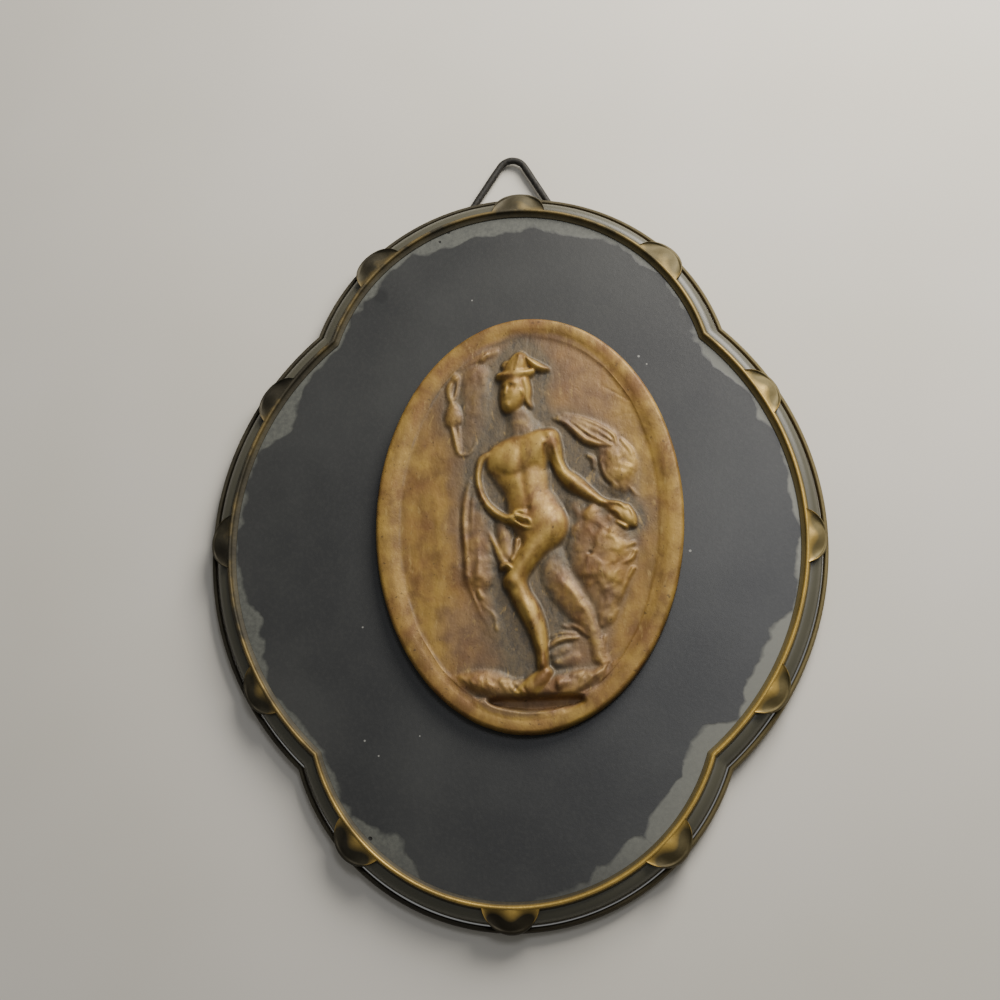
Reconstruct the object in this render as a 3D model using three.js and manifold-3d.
// A small oval plaster relief on a black painted quatrefoil board, edged with pressed brass and hung
// by a wire loop. Millimetres, +Z up, the face looks along -Y and the back lies on the plane Y = 0.
// In the plane of the board a point is [x, z]; its height is its distance in front of the wall.
import * as THREE from 'three';
import { mergeVertices } from 'three/addons/utils/BufferGeometryUtils.js';
import Module from 'manifold-3d';

const wasm = await Module();
wasm.setup();

// Outline of the frame: four round lobes that meet in four sharp notches
const FRAME_HEIGHT = 150;
const FRAME_WIDTH = 122.2;
const END_LOBE_R = 43.7;
const SIDE_LOBE_R = 61.1;
const LOBE_STEPS = 15;

// Painted wooden board with a quarter-round edge
const BOARD_THICKNESS = 4.6;
const BOARD_EDGE_R = 2.3;
const BOARD_EDGE_STEPS = 3;

// Pressed brass moulding: a back rim round the board, a crest on its face, and tabs that join them
const FIT_GAP = 0.3;
const CUT_GAP = 0.25;
const RIM_WIDTH = 1.0;
const RIM_HEIGHT = 2.4;
const RIM_ROUND = 0.3;
const CREST_OUTER = 0.7;
const CREST_INNER = 1.2;
const CREST_RISE = 0.9;
const CREST_LIP = 0.15;
const TAB_R = 6.2;
const TAB_EDGE_HEIGHT = 3.6;
const TAB_FOOT = 1.2;
const TAB_SINK = 0.15;
const END_TAB_PROUD = 0.4;
const SIDE_TAB_PROUD = -0.2;
const END_TAB_ANGLE = 46.9;
const SIDE_TAB_ANGLE = 31.6;
const TAB_STEPS = 6;
const TAB_DEPTH_STEPS = 3;

// Wire loop: straight legs under a round bend, each ending in a prong turned into the board
const WIRE_R = 0.75;
const WIRE_WALL_GAP = 0.1;
const WIRE_SIDES = 8;
const LOOP_X = -1.8;
const LOOP_RISE = 10.4;
const LOOP_BEND_R = 3;
const LOOP_LEG_ANGLE = 31;
const LOOP_BEND_STEPS = 8;
const LEG_HOLD = 6.5;
const PRONG_LENGTH = 2.4;

// Oval plaster medallion
const MEDALLION_HEIGHT = 84.4;
const MEDALLION_WIDTH = 60.5;
const MEDALLION_X = 2.9;
const MEDALLION_Z = 3.5;
const GLUE_GAP = 0.3;
const FIELD_THICKNESS = 2.2;
const OVAL_RIM_SIDE = 3.4;
const OVAL_RIM_END = 2.6;
const OVAL_RIM_RISE = 0.6;
const OVAL_RIM_ROUND = 0.9;
const OVAL_RIM_SLOPE = 0.9;
const RELIEF_HEIGHT = 83.6;
const RELIEF_DROP = 0.5;
const RELIEF_DEPTH = 3;
const FIELD_COLUMNS = 38;
const FIELD_ROWS = 54;

// Colours of the finishes
const PAINTED_PLASTER = { color: 0x94743a, roughness: 0.55, metalness: 0.15 };
const BLACK_PAINT = { color: 0x3d3e3d, roughness: 0.45, metalness: 0 };
const OLD_BRASS = { color: 0x6d6138, roughness: 0.45, metalness: 0.8 };
const BLACK_WIRE = { color: 0x2e2e2a, roughness: 0.6, metalness: 0.4 };

// Places of the figure: x and z in hundredths of the relief's height from its middle, the half-width of the
// form there in the same hundredths, and its height as a share of the relief's depth
const JOINTS = {
  brow: [-3.7, 34.2, 3.1, 0.86], cheek: [-4.1, 31.2, 3.1, 0.9], chin: [-4.9, 28.6, 2.1, 0.8],
  hair: [-1.2, 34.4, 1.6, 0.7], nape: [-0.4, 29.2, 1, 0.36],
  hatBand: [-3.6, 37.2, 3, 0.84], crown: [-2.6, 40.1, 2.2, 0.86],
  brimFront: [-6.9, 36, 1.3, 0.76], brimMiddle: [-3.4, 36.1, 1.8, 0.92], brimBack: [-0.2, 36.9, 1.3, 0.64],
  wing: [0.3, 39.4, 1.2, 0.62], wingTip: [4, 37.9, 0.9, 0.4],
  collar: [-0.6, 20, 4.6, 0.34], throat: [-1.9, 23.4, 3, 0.28], jaw: [-2.9, 27.2, 2.4, 0.32],
  leftShoulder: [-6.4, 15, 3.9, 0.62], breastbone: [-1.8, 16.2, 4.8, 0.78], rightShoulder: [2.9, 18.7, 3.9, 0.86],
  chest: [-2.6, 13.8, 6.7, 0.7], ribs: [-0.9, 8.6, 5.4, 0.76], waist: [0, 5.4, 5.2, 0.78],
  belly: [1.2, 2.2, 5.9, 0.84], pelvis: [2.6, -0.8, 6.1, 0.92],
  hip: [3.8, -1.2, 5.3, 0.96], thigh: [3, -3.4, 4.4, 1], midThigh: [1.3, -6.6, 3.3, 1],
  lowThigh: [-0.6, -9.4, 2.9, 1], knee: [-3.1, -14.6, 2.7, 0.9], calf: [0.4, -21.6, 2.6, 0.86],
  shin: [1.9, -25, 2.3, 0.82], ankle: [3.5, -34.4, 1.5, 0.73],
  heel: [4.3, -36.2, 1.8, 0.64], instep: [2.9, -37.9, 2.5, 0.7], toe: [-1.6, -40.6, 1.8, 0.58],
  rearHip: [5.4, -8, 2.6, 0.2], rearThigh: [6.2, -12, 3.3, 0.28], rearKnee: [8.6, -16.4, 3.7, 0.38],
  rearCalf: [11.4, -20.4, 3.2, 0.38], rearShin: [14, -24.6, 2.2, 0.3], rearAnkle: [16, -31.4, 1.5, 0.22],
  rearToe: [17.2, -33.8, 1.4, 0.24],
  farShoulder: [4.7, 20.4, 2.4, 0.84], farUpperArm: [6.7, 14.2, 1.7, 0.7], farElbow: [8.1, 11.4, 1.8, 0.66],
  farForearm: [10.4, 9.2, 2.1, 0.68], farWrist: [18.6, 3.6, 1.3, 0.52],
  farPalm: [19.6, 3, 1.9, 0.56], farKnuckles: [21.8, 1.6, 2.7, 0.64], farFingers: [23.2, -0.4, 2, 0.54],
  nearShoulder: [-8.8, 16.4, 1.4, 0.4], nearUpperArm: [-11.4, 14.9, 1.2, 0.34], nearElbow: [-12.1, 12, 1.1, 0.36],
  nearForearm: [-10.5, 5, 1.2, 0.46], nearWrist: [-5.8, 0.6, 1.3, 0.74], nearHand: [-1.8, 0, 1.7, 1.04],
};

// Forms of the figure in order from the back of the relief to the front, each carried through its places
const FIGURE = [
  ['rearHip', 'rearThigh', 'rearKnee', 'rearCalf', 'rearShin', 'rearAnkle', 'rearToe'],
  ['collar', 'throat', 'jaw'],
  ['leftShoulder', 'breastbone', 'rightShoulder'],
  ['chest', 'ribs', 'waist', 'belly', 'pelvis'],
  ['hip', 'thigh', 'midThigh', 'lowThigh', 'knee', 'calf', 'shin', 'ankle'],
  ['heel', 'instep', 'toe'],
  ['farShoulder', 'farUpperArm', 'farElbow', 'farForearm', 'farWrist'],
  ['farPalm', 'farKnuckles', 'farFingers'],
  ['nearShoulder', 'nearUpperArm', 'nearElbow', 'nearForearm', 'nearWrist', 'nearHand'],
  ['brow', 'cheek', 'chin'],
  ['hair', 'nape'],
  ['hatBand', 'crown'],
  ['brimFront', 'brimMiddle', 'brimBack'],
  ['wing', 'wingTip'],
];

// Staff, cloak, folds, rocks and ground: the same four numbers at each place that a form is carried through
const SCENERY = [
  [[-13.3, 26, 4.6, 0.12], [-12.8, 36.4, 4, 0.22]],
  [[-16.9, 39.3, 1.6, 0.22], [-11.2, 41.9, 1.7, 0.32], [-8.6, 42.6, 1.3, 0.16]],
  [[-29, 24.2, 1.2, 0.12], [-22.3, 35, 1.6, 0.26]],
  [[-18.3, 35.9, 1.5, 0.36], [-19.5, 32.4, 1.1, 0.22], [-18.9, 30.2, 1, 0.26]],
  [[-18.6, 28.4, 1.5, 0.34], [-18.2, 25.6, 2.2, 0.38], [-17.9, 21, 1.2, 0.28], [-16.8, 16.8, 1, 0.22]],
  [[-12.6, 9, 2, 0.08], [-12.9, 2, 3.4, 0.2], [-12.6, -6, 3.8, 0.32], [-12.2, -13.2, 3.4, 0.38]],
  [[-14.4, 8.6, 1, 0.14], [-15, -2, 1.3, 0.34], [-13.9, -13, 1.1, 0.26]],
  [[-11.6, -5.4, 1.3, 0.34], [-11.2, -13.6, 1.6, 0.46]],
  [[-11.4, -16.8, 1.2, 0.3], [-10.6, -20.6, 1.2, 0.18], [-8.6, -24.8, 1.2, 0.12]],
  [[-8.6, -4.4, 1, 0.32], [-5.6, -10.6, 1.6, 0.66]],
  [[-2.6, -4.8, 1.3, 0.5], [-3.8, -9.8, 1.3, 0.7]],
  [[6.4, 25.4, 1.2, 0.24], [11, 23.4, 2.6, 0.4], [15.4, 20.8, 3.3, 0.42], [19.4, 19, 2.4, 0.36]],
  [[13.8, 15.9, 1, 0.2], [15.2, 13.4, 1.1, 0.24]],
  [[17.2, 17.2, 1.4, 0.26], [17.2, 12.4, 1.5, 0.3], [20.4, 8.6, 1.5, 0.32], [24.6, 6.4, 1, 0.14]],
  [[19.6, 14, 1.5, 0.32], [22.2, 14, 1.8, 0.36], [21.4, 11.2, 1.6, 0.3]],
  [[21.6, 19.6, 1.1, 0.2], [24.4, 14.2, 1.4, 0.26], [24.2, 10.4, 1.2, 0.18]],
  [[9.8, 5, 1.4, 0.14], [9.9, -3, 1.4, 0.22]],
  [[12.6, 2.6, 2.6, 0.26], [15.4, -2.4, 5.6, 0.34], [16.8, -8.4, 6.8, 0.38], [17.6, -16.4, 4.4, 0.3],
    [18, -22.8, 2.4, 0.26]],
  [[11.2, -4, 1.3, 0.36], [15.6, -6.6, 1.5, 0.42], [21.6, -6.8, 1.6, 0.44], [24.2, -5.6, 1.2, 0.3]],
  [[19.4, -10, 1.4, 0.44], [23.6, -9.2, 1.4, 0.4]],
  [[17.8, -13.6, 1.4, 0.4], [20.4, -14.6, 1.4, 0.44]],
  [[19.6, -20.8, 1.4, 0.32], [17.4, -23, 1.7, 0.4]],
  [[4.9, -30.2, 1.1, 0.36], [8.8, -28.1, 1.2, 0.38], [11.4, -27.9, 0.9, 0.24]],
  [[6, -31.6, 1.8, 0.26], [9.6, -31.8, 2, 0.2]],
  [[-16.6, -38.2, 2, 0.3], [-12, -38.6, 3.2, 0.48], [-8, -38.8, 3.3, 0.5], [-4.4, -39.6, 2.6, 0.46]],
  [[3, -39.6, 3, 0.52], [7, -39.2, 3.3, 0.54], [12.6, -38.6, 3, 0.46], [20.6, -35.4, 2.2, 0.28]],
];

// Sill below the ground and the deep curved slot pressed into it, in the same hundredths and shares
const SILL = { topZ: -41.2, run: 1.5, share: 0.22 };
const SLOT = { left: -9.4, right: 13.4, middleZ: -42.4, sag: 1, tilt: 0.03, halfWidth: 1.8, share: -0.42 };

// Sizes worked out from the ones above
const boardInset = RIM_WIDTH + FIT_GAP;
const crestInset = boardInset + BOARD_EDGE_R + CREST_OUTER;
const crestBase = BOARD_THICKNESS + FIT_GAP;
const crestTop = crestBase + CREST_RISE;
const wireHeight = WIRE_WALL_GAP + WIRE_R;
const grooveHalf = WIRE_R + FIT_GAP;
const grooveDepth = wireHeight + grooveHalf;
const medallionBase = BOARD_THICKNESS + GLUE_GAP;
const fieldHeight = medallionBase + FIELD_THICKNESS;
const ovalRimTop = fieldHeight + OVAL_RIM_RISE;
const unit = RELIEF_HEIGHT / 100;
const degrees = THREE.MathUtils.DEG2RAD;

// A closed geometry from points and triangles, turned outwards where its volume comes out negative
function closedGeometry(points, triangles) {
  const volume = (a, b, c) =>
    (a[0] * (b[1] * c[2] - b[2] * c[1]) + a[1] * (b[2] * c[0] - b[0] * c[2]) + a[2] * (b[0] * c[1] - b[1] * c[0]));
  const total = triangles.reduce((sum, [a, b, c]) => sum + volume(points[a], points[b], points[c]), 0);
  const index = triangles.flatMap(([a, b, c]) => (total > 0 ? [a, b, c] : [a, c, b]));
  const geometry = new THREE.BufferGeometry();
  geometry.setAttribute('position', new THREE.Float32BufferAttribute(points.flat(), 3));
  geometry.setIndex(index);
  return geometry;
}

// Triangles between two loops of count points each, first points numbered a and b
function band(a, b, count) {
  const faces = [];
  for (let i = 0; i < count; i += 1) {
    const j = (i + 1) % count;
    faces.push([a + i, a + j, b + j], [a + i, b + j, b + i]);
  }
  return faces;
}

// Joins loops of equally many points in order; open ends are closed by a fan about their middle
function loft(loops, joinsItself) {
  const count = loops[0].length;
  const points = loops.flat();
  const faces = [];
  for (let k = 0; k + 1 < loops.length; k += 1) faces.push(...band(k * count, (k + 1) * count, count));
  if (joinsItself) {
    faces.push(...band((loops.length - 1) * count, 0, count));
    return closedGeometry(points, faces);
  }
  for (const [loop, start, flip] of [[loops[0], 0, true], [loops.at(-1), (loops.length - 1) * count, false]]) {
    const middle = [0, 1, 2].map((axis) => loop.reduce((sum, point) => sum + point[axis], 0) / count);
    const hub = points.push(middle) - 1;
    for (let i = 0; i < count; i += 1) {
      const j = (i + 1) % count;
      faces.push(flip ? [start + j, start + i, hub] : [start + i, start + j, hub]);
    }
  }
  return closedGeometry(points, faces);
}

function toManifold(geometry) {
  const bare = geometry.clone();
  bare.deleteAttribute('normal');
  bare.deleteAttribute('uv');
  const merged = mergeVertices(bare, 1e-5);
  const vertProperties = new Float32Array(merged.attributes.position.array);
  const triVerts = new Uint32Array(merged.index.array);
  return new wasm.Manifold(new wasm.Mesh({ numProp: 3, vertProperties, triVerts }));
}

function toGeometry(manifold) {
  const mesh = manifold.getMesh();
  const geometry = new THREE.BufferGeometry();
  geometry.setAttribute('position', new THREE.Float32BufferAttribute(mesh.vertProperties, 3));
  geometry.setIndex([...mesh.triVerts]);
  return geometry;
}

function namedMesh(name, geometry, finish) {
  const mesh = new THREE.Mesh(geometry, new THREE.MeshStandardMaterial(finish));
  mesh.name = name;
  return mesh;
}

// The four lobes of the outline moved in by inset, anticlockwise from the right one as the face shows them
function lobes(inset) {
  const endZ = FRAME_HEIGHT / 2 - END_LOBE_R;
  const sideX = FRAME_WIDTH / 2 - SIDE_LOBE_R;
  const endR = END_LOBE_R - inset;
  const sideR = SIDE_LOBE_R - inset;
  const apart = Math.hypot(sideX, endZ);
  const along = (apart * apart + endR * endR - sideR * sideR) / (2 * apart);
  const across = Math.sqrt(endR * endR - along * along);
  const toSide = [sideX / apart, -endZ / apart];
  const notch = [along * toSide[0] - across * toSide[1], endZ + along * toSide[1] + across * toSide[0]];
  const sideHalf = Math.atan2(notch[1], notch[0] - sideX);
  const endHalf = Math.atan2(notch[0], notch[1] - endZ);
  const quarter = Math.PI / 2;
  return [
    { x: sideX, z: 0, r: sideR, middle: 0, half: sideHalf },
    { x: 0, z: endZ, r: endR, middle: quarter, half: endHalf },
    { x: -sideX, z: 0, r: sideR, middle: 2 * quarter, half: sideHalf },
    { x: 0, z: -endZ, r: endR, middle: 3 * quarter, half: endHalf },
  ];
}

// Points of the whole outline at an inset and a height in front of the wall
function outline(inset, height) {
  return lobes(inset).flatMap(({ x, z, r, middle, half }) =>
    Array.from({ length: LOBE_STEPS }, (_, i) => {
      const angle = middle + half * (2 * i / LOBE_STEPS - 1);
      return [x + r * Math.cos(angle), -height, z + r * Math.sin(angle)];
    }));
}

// Wooden board: flat back, upright side, quarter-round edge and flat face, grown all round by extra
function boardGeometry(extra) {
  const side = boardInset - extra;
  const edgeStart = BOARD_THICKNESS - BOARD_EDGE_R;
  const section = [[side, -extra], [side, edgeStart]];
  for (let k = 1; k <= BOARD_EDGE_STEPS; k += 1) {
    const turn = (k / BOARD_EDGE_STEPS) * Math.PI / 2;
    const reach = BOARD_EDGE_R + extra;
    section.push([side + reach * (1 - Math.cos(turn)), edgeStart + reach * Math.sin(turn)]);
  }
  return loft(section.map(([inset, height]) => outline(inset, height)), false);
}

// Back rim: a low wall with eased edges that stands round the board
function rimGeometry() {
  const shoulder = RIM_HEIGHT - RIM_ROUND;
  const section = [[0, 0], [0, shoulder], [RIM_ROUND, RIM_HEIGHT], [RIM_WIDTH - RIM_ROUND, RIM_HEIGHT],
    [RIM_WIDTH, shoulder], [RIM_WIDTH, 0]];
  return loft(section.map(([inset, height]) => outline(inset, height)), true);
}

// Crest: a low ridge on the board's face with a narrow lip on top
function crestGeometry() {
  const outer = crestInset - CREST_OUTER;
  const inner = crestInset + CREST_INNER;
  const section = [[outer, crestBase], [outer, crestTop - 2 * CREST_LIP], [crestInset - CREST_LIP, crestTop],
    [crestInset + CREST_LIP, crestTop], [inner, crestBase + CREST_LIP], [inner, crestBase]];
  return loft(section.map(([inset, height]) => outline(inset, height)), true);
}

// Tab: a round-edged tongue bent from the crest down over the board's edge to the rim.
// Seen from the front it is cut from a disc; its back is trimmed by the board later.
function tabGeometry(lobe, turn, proud) {
  const discInset = TAB_R - proud;
  const inner = crestInset + CREST_LIP;
  const halfLength = Math.sqrt(TAB_R * TAB_R - (discInset - crestInset) ** 2);
  const outerFull = lobe.r;
  const place = (along, inset, height) => {
    const angle = lobe.middle + turn + along / outerFull;
    const r = outerFull - inset;
    return [lobe.x + r * Math.cos(angle), -height, lobe.z + r * Math.sin(angle)];
  };
  const topHeight = (inset) => {
    const share = Math.max(0, (crestInset - inset) / (crestInset + proud));
    return crestTop - TAB_SINK - (crestTop - TAB_EDGE_HEIGHT) * share ** 2;
  };
  const points = [];
  const across = TAB_DEPTH_STEPS + 1;
  for (let i = 0; i <= TAB_STEPS; i += 1) {
    const along = -halfLength * Math.cos(Math.PI * i / TAB_STEPS);
    const outer = discInset - Math.sqrt(TAB_R * TAB_R - along * along);
    for (let j = 0; j < across; j += 1) {
      const inset = inner + (outer - inner) * j / TAB_DEPTH_STEPS;
      points.push([place(along, inset, topHeight(inset)), place(along, inset, TAB_FOOT)]);
    }
  }
  const flat = points.flat();
  const top = (i, j) => 2 * (i * across + j);
  const foot = (i, j) => top(i, j) + 1;
  const faces = [];
  const wall = (a, b) => faces.push([top(...a), top(...b), foot(...b)], [top(...a), foot(...b), foot(...a)]);
  for (let i = 0; i < TAB_STEPS; i += 1) {
    for (let j = 0; j < TAB_DEPTH_STEPS; j += 1) {
      faces.push([top(i, j), top(i, j + 1), top(i + 1, j + 1)], [top(i, j), top(i + 1, j + 1), top(i + 1, j)]);
      faces.push([foot(i, j), foot(i + 1, j + 1), foot(i, j + 1)], [foot(i, j), foot(i + 1, j), foot(i + 1, j + 1)]);
    }
    wall([i, 0], [i + 1, 0]);
    wall([i + 1, TAB_DEPTH_STEPS], [i, TAB_DEPTH_STEPS]);
  }
  for (let j = 0; j < TAB_DEPTH_STEPS; j += 1) {
    wall([0, j + 1], [0, j]);
    wall([TAB_STEPS, j], [TAB_STEPS, j + 1]);
  }
  return closedGeometry(flat, faces);
}

// Three tabs on each lobe: one at its middle and one to each side
function tabGeometries() {
  return lobes(0).flatMap((lobe, index) => {
    const isEnd = index % 2 === 1;
    const spread = (isEnd ? END_TAB_ANGLE : SIDE_TAB_ANGLE) * degrees;
    const proud = isEnd ? END_TAB_PROUD : SIDE_TAB_PROUD;
    return [-spread, 0, spread].map((turn) => tabGeometry(lobe, turn, proud));
  });
}

// Places on the loop: the middle of its bend and, for each leg, where it leaves the bend and where it ends
function loopPlaces() {
  const bendZ = FRAME_HEIGHT / 2 + LOOP_RISE - WIRE_R - LOOP_BEND_R;
  const lean = LOOP_LEG_ANGLE * degrees;
  const bendTurn = Math.PI / 2 - lean;
  const drop = bendZ + LOOP_BEND_R * Math.cos(bendTurn) - (FRAME_HEIGHT / 2 - crestInset - LEG_HOLD);
  const legs = [-1, 1].map((side) => {
    const start = [LOOP_X + side * LOOP_BEND_R * Math.sin(bendTurn), bendZ + LOOP_BEND_R * Math.cos(bendTurn)];
    return { side, start, end: [start[0] + side * drop * Math.tan(lean), start[1] - drop] };
  });
  return { bendZ, bendTurn, lean, legs };
}

// Wire swept along the loop in its own plane, with a prong at each end
function loopGeometry() {
  const { bendZ, bendTurn, legs } = loopPlaces();
  const route = [legs[0].end];
  for (let i = 0; i <= LOOP_BEND_STEPS; i += 1) {
    const turn = bendTurn * (2 * i / LOOP_BEND_STEPS - 1);
    route.push([LOOP_X + LOOP_BEND_R * Math.sin(turn), bendZ + LOOP_BEND_R * Math.cos(turn)]);
  }
  route.push(legs[1].end);
  const rings = route.map((point, i) => {
    const before = route[Math.max(0, i - 1)];
    const after = route[Math.min(route.length - 1, i + 1)];
    const length = Math.hypot(after[0] - before[0], after[1] - before[1]);
    const normal = [-(after[1] - before[1]) / length, (after[0] - before[0]) / length];
    return Array.from({ length: WIRE_SIDES }, (_, k) => {
      const turn = 2 * Math.PI * k / WIRE_SIDES;
      const out = WIRE_R * Math.cos(turn);
      return [point[0] + normal[0] * out, -wireHeight + WIRE_R * Math.sin(turn), point[1] + normal[1] * out];
    });
  });
  const wire = toManifold(loft(rings, false));
  return toGeometry(prongs(WIRE_R, PRONG_LENGTH).reduce((solid, prong) => solid.add(toManifold(prong)), wire));
}

// Cylinders at the legs' ends that run forwards from the wire's middle
function prongs(radius, length) {
  return loopPlaces().legs.map(({ end }) => {
    const prong = new THREE.CylinderGeometry(radius, radius, length, WIRE_SIDES);
    prong.translate(end[0], -wireHeight - length / 2, end[1]);
    return prong;
  });
}

// Grooves in the back that the legs lie in, open to the wall and past the outline
function grooves() {
  return loopPlaces().legs.flatMap(({ side, start, end }) => {
    const run = Math.hypot(start[0] - end[0], start[1] - end[1]);
    const groove = new THREE.BoxGeometry(2 * grooveHalf, 2 * grooveDepth, run);
    groove.rotateY(-side * LOOP_LEG_ANGLE * degrees);
    groove.translate((start[0] + end[0]) / 2, 0, (start[1] + end[1]) / 2);
    const seat = new THREE.CylinderGeometry(grooveHalf, grooveHalf, 2 * grooveDepth, WIRE_SIDES);
    seat.translate(end[0], 0, end[1]);
    return [groove, seat];
  });
}

function makeBoard() {
  const cuts = [...grooves(), ...prongs(grooveHalf, PRONG_LENGTH + FIT_GAP)];
  const board = cuts.reduce((solid, cut) => solid.subtract(toManifold(cut)), toManifold(boardGeometry(0)));
  return namedMesh('backboard', toGeometry(board), BLACK_PAINT);
}

function makeFrame() {
  const parts = [rimGeometry(), crestGeometry(), ...tabGeometries()].map(toManifold);
  const whole = parts.reduce((solid, part) => solid.add(part));
  const fitted = whole.subtract(toManifold(boardGeometry(CUT_GAP)));
  const frame = grooves().reduce((solid, cut) => solid.subtract(toManifold(cut)), fitted);
  return namedMesh('brass_frame', toGeometry(frame), OLD_BRASS);
}

// Share of a form at a point: its back is round across each stretch, and widths and shares change evenly along it
function formShare(x, z, places) {
  let share = 0;
  for (let k = 1; k < places.length; k += 1) {
    const [fromX, fromZ, fromR, fromShare] = places[k - 1];
    const [toX, toZ, toR, toShare] = places[k];
    const dx = toX - fromX;
    const dz = toZ - fromZ;
    const along = Math.min(1, Math.max(0, ((x - fromX) * dx + (z - fromZ) * dz) / (dx * dx + dz * dz)));
    const away = Math.hypot(x - fromX - along * dx, z - fromZ - along * dz);
    const reach = away / (fromR + (toR - fromR) * along);
    const here = fromShare + (toShare - fromShare) * along;
    if (reach < 1) share = Math.max(share, here * (1 - reach ** 2) ** 0.55);
  }
  return share;
}

// Share of the relief's depth at a point of the field, in hundredths of the relief's height
function reliefShare(x, z) {
  const forms = [...SCENERY, ...FIGURE.map((names) => names.map((name) => JOINTS[name]))];
  const figure = Math.max(...forms.map((places) => formShare(x, z, places)));
  const sill = SILL.share * Math.min(1, Math.max(0, (SILL.topZ - z) / SILL.run));
  const arch = Math.sin(Math.PI * Math.min(1, Math.max(0, (x - SLOT.left) / (SLOT.right - SLOT.left))));
  const slotZ = SLOT.middleZ - SLOT.sag * arch + SLOT.tilt * (x - SLOT.left);
  const slotReach = Math.abs(z - slotZ) / SLOT.halfWidth;
  if (slotReach < 1 && arch > 0) {
    const sunk = Math.min(1, 2 * (1 - slotReach ** 2) * Math.min(1, 2.5 * arch));
    return Math.max(figure, sill) * (1 - sunk) + SLOT.share * sunk;
  }
  return Math.max(figure, sill);
}

// Points of the medallion's field: a square grid drawn out to an oval
function fieldPoints(halfWidth, halfHeight) {
  const points = [];
  for (let i = 0; i <= FIELD_COLUMNS; i += 1) {
    for (let j = 0; j <= FIELD_ROWS; j += 1) {
      const a = 2 * i / FIELD_COLUMNS - 1;
      const b = 2 * j / FIELD_ROWS - 1;
      const x = a * Math.sqrt(1 - b * b / 2) * halfWidth;
      const z = b * Math.sqrt(1 - a * a / 2) * halfHeight;
      const share = reliefShare(x / unit, (z + RELIEF_DROP) / unit);
      points.push([MEDALLION_X + x, -(fieldHeight + RELIEF_DEPTH * share), MEDALLION_Z + z]);
    }
  }
  return points;
}

// Medallion: its rim and side are loops with one point to every two round the field's edge
function makeMedallion() {
  const halfWidth = MEDALLION_WIDTH / 2;
  const halfHeight = MEDALLION_HEIGHT / 2;
  const points = fieldPoints(halfWidth - OVAL_RIM_SIDE - OVAL_RIM_SLOPE, halfHeight - OVAL_RIM_END - OVAL_RIM_SLOPE);
  const at = (i, j) => i * (FIELD_ROWS + 1) + j;
  const faces = [];
  for (let i = 0; i < FIELD_COLUMNS; i += 1) {
    for (let j = 0; j < FIELD_ROWS; j += 1) {
      faces.push([at(i, j), at(i + 1, j), at(i + 1, j + 1)], [at(i, j), at(i + 1, j + 1), at(i, j + 1)]);
    }
  }
  const edge = [];
  for (let i = 0; i < FIELD_COLUMNS; i += 1) edge.push(at(i, 0));
  for (let j = 0; j < FIELD_ROWS; j += 1) edge.push(at(FIELD_COLUMNS, j));
  for (let i = FIELD_COLUMNS; i > 0; i -= 1) edge.push(at(i, FIELD_ROWS));
  for (let j = FIELD_ROWS; j > 0; j -= 1) edge.push(at(0, j));
  const turns = edge.filter((_, k) => k % 2 === 0).map((index) => {
    const [x, , z] = points[index];
    return Math.atan2((z - MEDALLION_Z) / halfHeight, (x - MEDALLION_X) / halfWidth);
  });
  const rimShare = OVAL_RIM_ROUND / OVAL_RIM_SIDE;
  const section = [[1, ovalRimTop], [rimShare, ovalRimTop], [0, ovalRimTop - OVAL_RIM_ROUND], [0, medallionBase]];
  const loops = section.map(([share, height]) => turns.map((turn) => points.push([
    MEDALLION_X + Math.cos(turn) * (halfWidth - share * OVAL_RIM_SIDE), -height,
    MEDALLION_Z + Math.sin(turn) * (halfHeight - share * OVAL_RIM_END)]) - 1));
  loops[0].forEach((point, k) => {
    const next = loops[0][(k + 1) % loops[0].length];
    const [first, middle, last] = [edge[2 * k], edge[2 * k + 1], edge[(2 * k + 2) % edge.length]];
    faces.push([first, point, middle], [middle, point, next], [middle, next, last]);
  });
  for (let row = 1; row < loops.length; row += 1) {
    loops[row].forEach((point, k) => {
      const next = (k + 1) % loops[row].length;
      const before = loops[row - 1];
      faces.push([before[k], point, loops[row][next]], [before[k], loops[row][next], before[next]]);
    });
  }
  const foot = loops[loops.length - 1];
  const hub = points.push([MEDALLION_X, -medallionBase, MEDALLION_Z]) - 1;
  foot.forEach((point, k) => faces.push([point, hub, foot[(k + 1) % foot.length]]));
  return namedMesh('plaster_medallion', closedGeometry(points, faces), PAINTED_PLASTER);
}

const wallMedallion = new THREE.Group();
wallMedallion.add(makeBoard());
wallMedallion.add(makeFrame());
wallMedallion.add(makeMedallion());
wallMedallion.add(namedMesh('hanging_loop', loopGeometry(), BLACK_WIRE));

export default wallMedallion;
